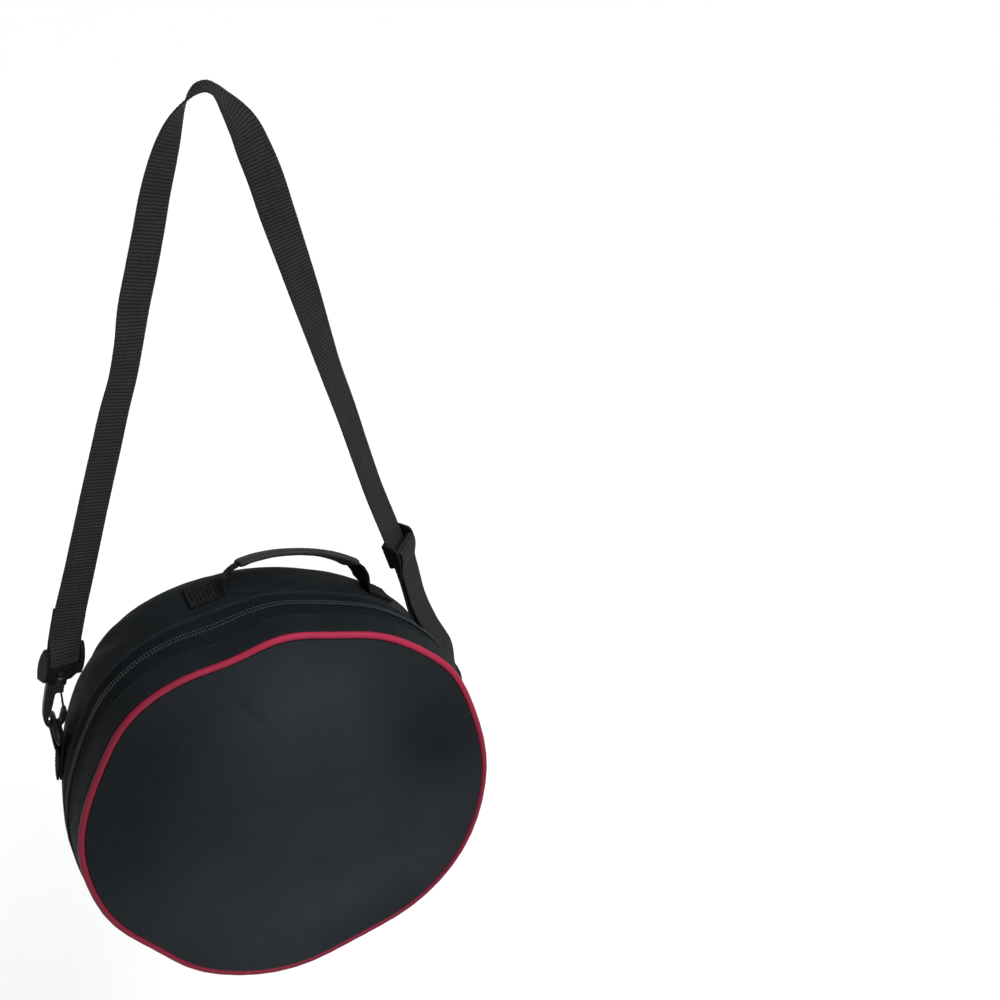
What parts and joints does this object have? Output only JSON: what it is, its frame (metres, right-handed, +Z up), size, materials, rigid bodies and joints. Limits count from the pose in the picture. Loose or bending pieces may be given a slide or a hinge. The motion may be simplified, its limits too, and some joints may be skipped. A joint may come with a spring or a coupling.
{
  "type": "scuba regulator bag",
  "caption": "Round padded bag with red piped rims, a zip over the gusset, a top carry handle and a shoulder strap on swivel snap hooks, hanging by its strap.",
  "frame": {"origin": "top of the shoulder strap's hanging bend, where a peg or a hand holds the bag up", "axes": "+X to the viewer's right of the front panel, +Y from the front panel to the back panel, +Z up along the hanging strap"},
  "size_m": [0.3303, 0.163, 0.6713],
  "materials": {
    "panel_cloth": "fine matt nylon over padding",
    "gusset_cloth": "coarse woven nylon with a soft sheen",
    "piping": "satin binding over a round cord",
    "webbing": "ribbed nylon webbing",
    "grip_cloth": "matt woven sleeve",
    "zip_tape": "tight woven tape",
    "zip_coil": "satin coil",
    "zip_slider": "black enamel",
    "hardware": "satin black moulding"
  },
  "bodies": {
    "bag": {"front_panel": "panel_cloth", "back_panel": "panel_cloth", "piping_front": "piping", "piping_back": "piping", "gusset_front": "gusset_cloth", "gusset_back": "gusset_cloth", "gusset_base": "gusset_cloth", "zip_tape_front": "zip_tape", "zip_tape_back": "zip_tape", "zip_teeth": "zip_coil", "zip_slider": "zip_slider", "handle_web": "webbing", "handle_grip": "grip_cloth", "lug_tab_left": "webbing", "lug_tab_right": "webbing", "d_ring_left": "hardware", "d_ring_right": "hardware", "hook_base_left": "hardware", "hook_base_right": "hardware", "strap": "webbing", "strap_adjuster": "hardware"},
    "hook_left": {"hook_left": "hardware"},
    "hook_right": {"hook_right": "hardware"}
  },
  "joints": [
    {"name": "hook_left_swivel", "type": "hinge", "parent": "bag", "child": "hook_left", "pos_m": [-0.14164, 0, -0.38913], "axis": [0.2632, 0, 0.9647], "range_deg": [-18, 18]},
    {"name": "hook_right_swivel", "type": "hinge", "parent": "bag", "child": "hook_right", "pos_m": [0.1541, 0, -0.49045], "axis": [-0.1717, 0, 0.9852], "range_deg": [-18, 18]}
  ]
}
